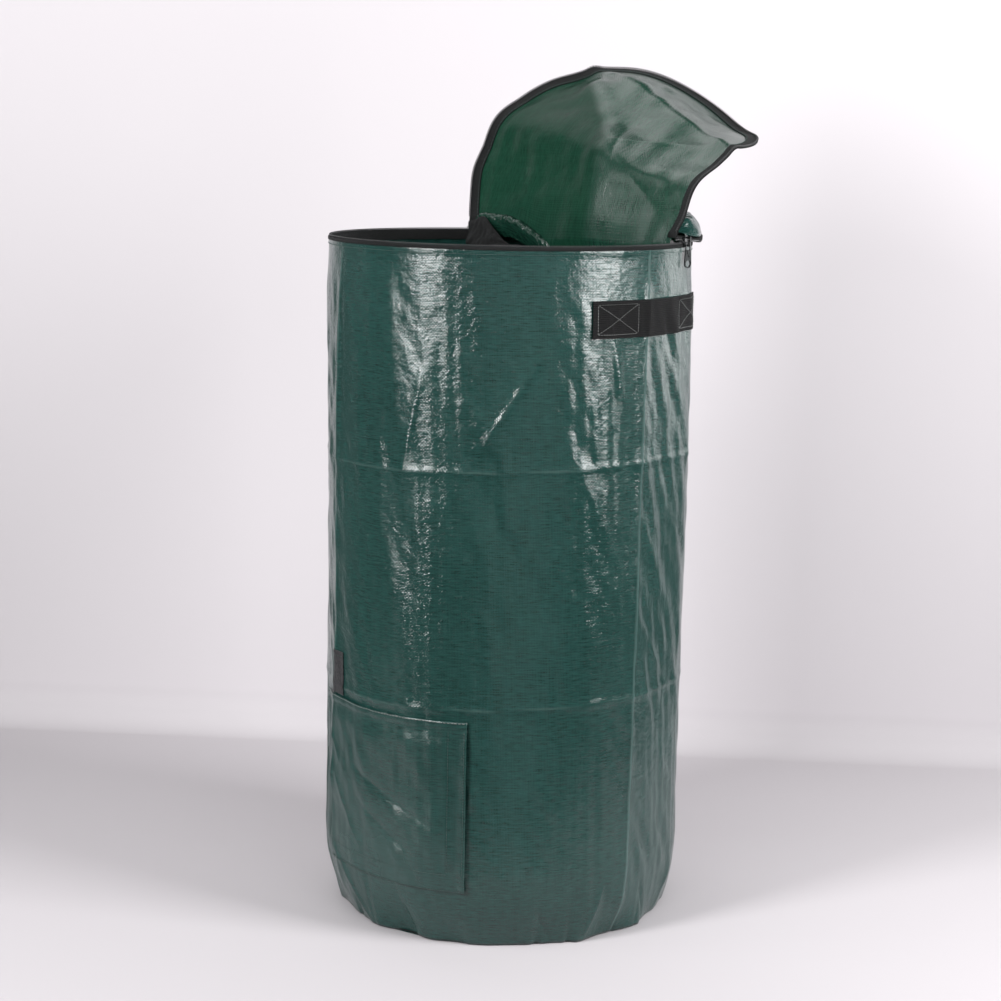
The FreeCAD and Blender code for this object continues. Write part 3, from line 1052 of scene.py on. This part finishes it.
def bulge(points):
    """The part beside the slider that is still zipped on pouts outwards and tilts."""
    az = np.degrees(np.arctan2(points[:, 0], -points[:, 1]))
    radius = np.hypot(points[:, 0], points[:, 1])
    share = pout_share(az) * smooth((radius - 0.13) / 0.07)
    moved = points + outward(az) * (POUT_OUT * share)[:, None]
    moved[:, 2] += POUT_TILT * (az - 88.0) * share
    return moved


def build_pout():
    """Slack of the back panel, standing up in a dome beside the slider."""
    a, v = np.meshgrid(np.linspace(70.5, 112.0, 90), np.linspace(0, 1, 30))
    share = pout_share(a) ** 0.7
    dome = np.interp(v, (0.0, 0.08, 0.30, 0.55, 1.0), (0.0, 0.45, 0.95, 1.0, 0.0))
    rise = 0.022 * share * dome * (1 + 0.10 * waves(arc(a), v * 0.04, 81, 0.025, 8))
    radius = 0.2232 - 0.038 * v
    points = around(radius, a, LID_TOP + 0.0006).reshape(-1, 3)
    points = bulge(points)
    points[:, 2] += rise.ravel()
    uv = pairs(arc(a), v * 0.038 + rise)
    made = make("lid_pout", points, grid_faces(*a.shape), "sheet", uv, 0 * a)
    thicken(made, 0.0005)
    on_bag(made, "green_sheet")
    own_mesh(made)


def lid_at_rest(points, faces, sheet):
    """Rest positions of a layer of the shut lid."""
    zones = lid_zone(points[faces].mean(1))
    rest = np.array(points)
    for zone in range(3):
        used = np.unique(faces[zones == zone])
        rest[used] = folded(points[used], zone)
    back = reach(points)[0] < 0
    rest[back] = bulge(rest[back])
    rest = settled(rest, *reach(points))
    if sheet:
        rest[:, 2] -= hinge_dip(points)
    return rest, zones


def lid_pieces(name, points, faces, look, slot, layer="", drape=None, **values):
    """Split a layer of the shut lid between its zones and fold it back. layer names the CAD layer
    it stands for; drape is for the loose sheet; values are make()'s, one for each point."""
    rest, zones = lid_at_rest(points, faces, bool(drape))
    if drape:
        rest += drape(points)
    normals = vertex_normals(rest, faces)
    for zone, (tag, _, a, b, _, _) in enumerate(ZONES):
        own = faces[zones == zone]
        used, index = np.unique(own, return_inverse=True)
        own_values = {title: each[used] for title, each in values.items()}
        made = make(name + "_" + tag, rest[used], index.reshape(own.shape), look, **own_values)
        if drape:
            made.data.normals_split_custom_set_from_vertices(normals[used].tolist())
        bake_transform(made)
        parts = ("back", "root") if zone == 0 else (tag,)
        if layer:
            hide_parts(*("lid_" + part + "_" + layer for part in parts))


# worn folds of the lid's sheet, from quarter-folding: (reach, across) of their ends
LID_TOP_CORNER = (0.262, -0.134)
LID_CENTRE = (0.110, 0.035)
LID_FOOT = (0.020, 0.050)
LID_RIGHT = (0.138, 0.170)
LID_SPINE = 0.017              # the fold from corner to foot stands out this far


def spine_distance(s, t):
    upper, _ = segment_distance(s, t, LID_TOP_CORNER, LID_CENTRE)
    lower, _ = segment_distance(s, t, LID_CENTRE, LID_FOOT)
    return np.minimum(upper, lower)


# folds across the lid's sheet: both ends, height (downwards when shut), width
LID_FOLDS = (
    (LID_CENTRE, LID_RIGHT, 0.0032, 0.022),
    (LID_CENTRE, (0.010, 0.190), -0.0045, 0.022),
    ((0.185, 0.060), LID_CENTRE, -0.0018, 0.040),
    ((0.088, -0.180), (0.060, -0.020), -0.0030, 0.030),
    ((0.140, 0.040), (0.080, 0.062), -0.0024, 0.009),
)


def lid_relief(s, t):
    """Loose lie of the lid's sheet across its quarter folds, downwards when shut."""
    rim = smooth((DISC_RADIUS - 0.015 - np.hypot(s - HINGE_TO_AXIS, t)) / 0.085)
    relief = LID_SPINE * np.clip(1 - np.hypot(spine_distance(s, t), 0.009) / 0.13, 0, 1) * rim
    for start, end, height, width in LID_FOLDS:
        relief += fold(s, t, start, end, height, width)
    return relief + 0.0018 * waves(s, t, 71, 0.16) + 0.0008 * waves(s, t, 72, 0.05, 12)


def lid_tautness(s, t):
    """1 on the half left of the spine, 0 right of it."""
    spine = np.interp(s, *zip(LID_FOOT, LID_CENTRE, LID_TOP_CORNER))
    return smooth((spine - t) / 0.030 + 0.5)


def lid_creases(s, t):
    worn = np.zeros(s.shape)
    for end in (LID_TOP_CORNER, LID_FOOT, LID_RIGHT):
        distance, _ = segment_distance(s, t, LID_CENTRE, end)
        worn = np.maximum(worn, np.exp(-(distance / 0.0018) ** 2))
    return worn * 0.3


def lid_sheet_point(x, y):
    """The loose sheet of the shut lid above (x, y)."""
    points = np.stack([x, y, np.full(x.shape, LID_TOP - 0.0006)], -1).reshape(-1, 3)
    calm = smooth((DISC_RADIUS - np.hypot(points[:, 0], points[:, 1])) / 0.035)
    points[:, 2] -= (0.004 + lid_relief(*reach(points))) * calm
    return points


DRAPE_CELLS = 84
DRAPE_FRAMES = 32
CLOTH_SETTINGS = {
    "quality": 7, "mass": 0.03, "tension_stiffness": 40.0, "compression_stiffness": 25.0,
    "shear_stiffness": 12.0, "bending_stiffness": 2.0, "air_damping": 4.0, "shrink_min": -0.001,
    "vertex_group_mass": "held",
}
DRAPE_LIMIT = 0.006
DRAPE_CALM = 3                   # passes that even out the finest buckles
DRAPE_LEFT = 0.35                # the half left of the spine is pulled tighter


def simulate_cloth(points, faces, held):
    """Let a sheet sag and buckle between the places where it is held; the settled points."""
    sheet = make("draping", points, faces, "lid")
    group = sheet.vertex_groups.new(name="held")
    group.add(np.nonzero(held)[0].tolist(), 1.0, "REPLACE")
    cloth = sheet.modifiers.new("cloth", "CLOTH")
    for title, value in CLOTH_SETTINGS.items():
        setattr(cloth.settings, title, value)
    cloth.collision_settings.use_collision = False
    cloth.point_cache.frame_end = DRAPE_FRAMES
    for step in range(1, DRAPE_FRAMES + 1):
        bpy.context.scene.frame_set(step)
    graph = bpy.context.evaluated_depsgraph_get()
    settled_mesh = sheet.evaluated_get(graph).data
    found = np.zeros(len(settled_mesh.vertices) * 3)
    settled_mesh.vertices.foreach_get("co", found)
    bpy.data.objects.remove(sheet)
    bpy.context.scene.frame_set(1)
    return found.reshape(-1, 3)


def lid_drape():
    """How far the lid's sheet sags at rest, from a cloth simulation, as a function of place."""
    edge = np.linspace(-DISC_RADIUS, DISC_RADIUS, DRAPE_CELLS)
    x, y = np.meshgrid(edge, edge)
    points = lid_sheet_point(x, y)
    radius = np.hypot(points[:, 0], points[:, 1])
    faces = grid_faces(DRAPE_CELLS, DRAPE_CELLS)
    faces = faces[(radius[faces] < DISC_RADIUS - 0.001).all(1)]
    used, index = np.unique(faces, return_inverse=True)
    own, own_faces = points[used], index.reshape(faces.shape)
    rest, _ = lid_at_rest(own, own_faces, True)
    s, t = reach(own)
    held = (radius[used] > DISC_RADIUS - 0.014) | (s < 0.016) | (spine_distance(s, t) < 0.004)
    sag = simulate_cloth(rest, own_faces, held) - rest
    size = np.linalg.norm(sag, axis=1, keepdims=True)
    sag *= np.tanh(size / DRAPE_LIMIT) * DRAPE_LIMIT / (size + 1e-9)
    sag *= (1 - (1 - DRAPE_LEFT) * lid_tautness(s, t))[:, None]
    sag[held] = 0.0
    sag *= (smooth(spine_distance(s, t) / 0.030) * smooth((DISC_RADIUS - radius[used]) / 0.040))[:, None]
    table = np.zeros((DRAPE_CELLS * DRAPE_CELLS, 3))
    table[used] = sag
    table = table.reshape(DRAPE_CELLS, DRAPE_CELLS, 3)
    for _ in range(DRAPE_CALM):
        for axis in (0, 1):
            table = (np.roll(table, 1, axis) + 2 * table + np.roll(table, -1, axis)) / 4

    def drape(points):
        place = (points[:, :2] + DISC_RADIUS) / (2 * DISC_RADIUS) * (DRAPE_CELLS - 1)
        place = np.clip(place, 0, DRAPE_CELLS - 1.001)
        c, r = place[:, 0].astype(int), place[:, 1].astype(int)
        u, v = (place[:, 0] - c)[:, None], (place[:, 1] - r)[:, None]
        near = table[r, c] * (1 - u) + table[r, c + 1] * u
        far = table[r + 1, c] * (1 - u) + table[r + 1, c + 1] * u
        return near * (1 - v) + far * v

    return drape


def build_lid_sheet():
    a, r, faces = ring_grid(420, np.concatenate([[0.00002], np.linspace(0.003, DISC_RADIUS, 92)]))
    x, y, _ = np.moveaxis(around(r, a, 0.0), -1, 0)
    points = lid_sheet_point(x, y)
    s, t = reach(points)
    values = {"uv": pairs(s, t), "crease": lid_creases(s, t), "taut": lid_tautness(s, t)}
    lid_pieces("lid_sheet", points, faces, "lid", "green_sheet", "panel", lid_drape(), **values)


def build_lid_tape():
    top, foot, inner = LID_TOP, LID_COIL[1], DISC_RADIUS - 0.0045
    section = np.array([
        (inner, top - 0.0018), (RADIUS - 0.0040, top - 0.0030), (RADIUS - 0.0022, foot + 0.0001),
        (RADIUS + 0.0002, foot + 0.0002), (RADIUS + 0.0002, foot + 0.0010), (RADIUS - 0.0030, top - 0.0012),
        (inner, top + 0.0001), (inner, top - 0.0018),
    ])
    a, k, faces = ring_grid(540, np.arange(len(section)))
    radius, height = section[k, 0], section[k, 1]
    points = around(radius, a, height).reshape(-1, 3)
    uv = pairs(arc(a), radius + height).reshape(-1, 2)
    lid_pieces("lid_tape", points, faces, "tape", "black_tape", "tape", uv=uv)


def build_lid_teeth():
    lid_pieces("lid_teeth", *coil_helix(LID_COIL, -1), "coil", "zip_coil", "coil")


def build_lid_thread():
    az = np.linspace(-180, 180, 1441)
    line = around(DISC_RADIUS - 0.0034, az, LID_TOP - 0.0023)
    down = np.tile(-UP, (len(az), 1))
    points, faces = dashes(line, down, 0.0050, 0.0030, 0.0004)
    lid_pieces("lid_edge_thread", points, faces, "thread_dark", "thread")


def build_tape_bunch():
    """Zip tape bunched up where the lid folds at its left end, made large enough to fill the dark hollow there:
    part real tape, part painted shade.
    """
    t = np.linspace(-0.196, -0.085, 70)
    rise = np.linspace(0, 1, 22)
    across, v = np.meshgrid(t, rise)
    # the top bulges up near the left end so that black tape fills the shaded gap there: painted shade
    top = 0.008 * np.exp(-((across + 0.165) / 0.018) ** 2) - 0.026 * smooth((across + 0.166) / 0.060)
    height = -0.030 + v * (top + 0.030)
    crumple = 0.0022 * waves(across, v * 0.05, 77, 0.030, 8) + 0.0008 * waves(across, v * 0.05, 78, 0.009, 10)
    ahead = 0.014 - 0.004 * v + 0.7 * crumple * (1 - 0.5 * v)
    uv = pairs(across, height)
    made = make("tape_bunch_and_painted_shade", lid_places(ahead, across, height), grid_faces(*across.shape), "tape", uv)
    thicken(made, 0.0008)
    at_hinge(made)


# ridge of the slack sheet left of the hinge: (across, height above the hinge)
ROLL_RIDGE = ((-0.178, 0.0105), (-0.150, 0.0127), (-0.120, 0.0105), (-0.090, 0.0035), (-0.060, -0.0090),
              (-0.031, -0.0225), (-0.016, -0.0290))
ROLL_RADIUS = 0.0060


def build_roll():
    """The lid's sheet rolls over into the mouth left of the hinge."""
    ridge = np.array(ROLL_RIDGE)
    across = np.linspace(ridge[0, 0], ridge[-1, 0], 120)
    top = np.interp(across, ridge[:, 0], ridge[:, 1])
    top = np.convolve(np.pad(top, 6, mode="edge"), np.ones(13) / 13, mode="valid")
    turn = np.radians(np.linspace(200, -5, 22))
    ahead = np.concatenate([0.004 + ROLL_RADIUS * np.cos(turn), [0.0085, 0.0065, 0.0040, 0.0012]])
    drop = np.concatenate([ROLL_RADIUS * (np.sin(turn) - 1), [-0.012, -0.017, -0.022, -0.028]])
    x, k = np.meshgrid(across, np.arange(len(ahead)))
    crumple = 0.0009 * waves(x, drop[k], 75, 0.018, 12) + 0.0005 * waves(x, drop[k], 76, 0.007, 12)
    points = lid_places(ahead[k] + crumple, x, top[None] + drop[k] + crumple)
    uv = pairs(x, drop[k] - ahead[k])
    made = make("lid_slack_roll", points, grid_faces(*x.shape), "lid", uv, taut=0.4 + 0 * x)
    at_hinge(made)


# ---- metal parts stay as the CAD made them ----

def build_metal():
    for node in ("zip_slider", "zip_pull", "zip_stops"):
        part = frame["nodes"][node]
        part.data.materials.clear()
        part.data.materials.append(LOOKS["metal"])


# ---- stage ----

def plain_stage():
    """Pale paper with painted shade: darker towards the right, low on the backdrop and most on the floor."""
    material, tree = blank("studio_paper")
    place = put("SeparateXYZ", {0: source(tree, "TexCoord", "Object")})
    # painted shade: the paper's colour is scaled down towards the right and low on the backdrop
    painted_shade_across = ramp(place.outputs[0], -0.3, 0.75, 0.67, 0.73)
    above = ramp(place.outputs[2], 0.1, 1.7, 0.90, 0.94)
    # on the floor the colour is scaled down further, to 0.80: painted shade
    on_floor = ramp(place.outputs[2], 0.03, 0.07, 1.0, 0.0)
    backdrop_painted_shade = times(above, calc("SUBTRACT", 1.0, on_floor))
    # height is the painted shade factor for backdrop and floor together
    height = plus(backdrop_painted_shade, times(on_floor, 0.80))
    paper = mix_colour(times(painted_shade_across, height), (0.0, 0.0, 0.0, 1.0), linear(236, 231, 235))
    inputs = {"Base Color": paper, "Roughness": 0.85, "Specular IOR Level": 0.2}
    shade = put("BsdfPrincipled", inputs).outputs[0]
    clear = source(tree, "BsdfTransparent", 0)
    behind = source(tree, "NewGeometry", "Backfacing")
    looked_at = source(tree, "LightPath", "Is Camera Ray")
    one_sided = put("MixShader", {0: times(behind, looked_at), 1: shade, 2: clear})
    output(one_sided.outputs[0])
    return material


def build_stage():
    """Floor and plain backdrop, the backdrop turned a little and not seen from behind."""
    bend, back, turn = 0.060, 0.66, -0.09
    profile = [(-0.55, 0.0), (back, 0.0)]
    for k in range(1, 13):
        a = k / 12 * math.pi / 2
        profile.append((back + bend * math.sin(a), bend - bend * math.cos(a)))
    profile.append((back + bend, 1.5))
    profile = np.array(profile)
    x, k = np.meshgrid(np.linspace(-0.96, 0.90, 3), np.arange(len(profile)))
    points = np.stack([x, profile[k, 0] + turn * x * (k > 0), profile[k, 1]], -1)
    LOOKS["paper"] = plain_stage()
    made = make("backdrop", points, grid_faces(*x.shape), "paper")


def area_light(name, az, distance, height, size, radiance, target=(0, 0, 0.6)):
    """A rectangular light that looks at target. az is counted like the bag's."""
    light = bpy.data.lights.new(name, "AREA")
    light.shape = "RECTANGLE"
    light.size, light.size_y = size
    light.energy = radiance * math.pi * size[0] * size[1]
    made = bpy.data.objects.new(name, light)
    made.location = around(distance, az, height).tolist()
    made.rotation_euler = (Vector(target) - made.location).to_track_quat("-Z", "Y").to_euler()
    bpy.context.scene.collection.objects.link(made)


def build_lights():
    area_light("softbox_left", -49.0, 2.5, 1.38, (0.62, 1.64), 26.0)
    area_light("softbox_right", 60.0, 2.2, 1.38, (0.90, 1.64), 19.5)
    area_light("right_card", 121.0, 2.5, 0.70, (1.1, 0.70), 3.2)
    area_light("left_card", -80.0, 2.2, 1.85, (0.70, 1.1), 2.2, (0, 0, 1.0))
    area_light("high_card", -146.0, 1.3, 2.5, (1.5, 1.2), 2.0, (0, 0, 1.0))
    area_light("overhead", -15.0, 1.0, 2.6, (1.8, 1.0), 4.0, (0, 0, 0.8))
    world = bpy.data.worlds.new("studio")
    world.use_nodes = True
    background = world.node_tree.nodes["Background"]
    background.inputs[0].default_value = (1.0, 0.985, 1.0, 1.0)
    background.inputs[1].default_value = 0.12
    bpy.context.scene.world = world
    bpy.context.scene.view_settings.view_transform = "Standard"


def build_camera():
    camera = bpy.data.cameras.new("camera")
    camera.lens = 80.5
    camera.sensor_width = 36.0
    made = bpy.data.objects.new("camera", camera)
    made.location = (-0.0147, -2.8, 0.984)
    made.rotation_euler = (math.radians(90 - 9.51), math.radians(-1.0), 0.0)
    bpy.context.scene.collection.objects.link(made)
    bpy.context.scene.camera = made


build_wall()
build_base()
build_base_binding()
build_wall_seam()
build_rim_thread()
build_rim_tape()
build_rim_teeth()
for side, turn in (("right", 0.0), ("left", LEFT_TURN)):
    build_strap(side, turn)
    build_box_stitches(side, turn)
build_flap()
build_flap_threads()
build_strips()
build_keeper()
build_lid_sheet()
build_lid_tape()
build_lid_teeth()
build_lid_thread()
build_tape_bunch()
build_roll()
build_pout()
build_metal()
build_stage()
build_lights()
build_camera()
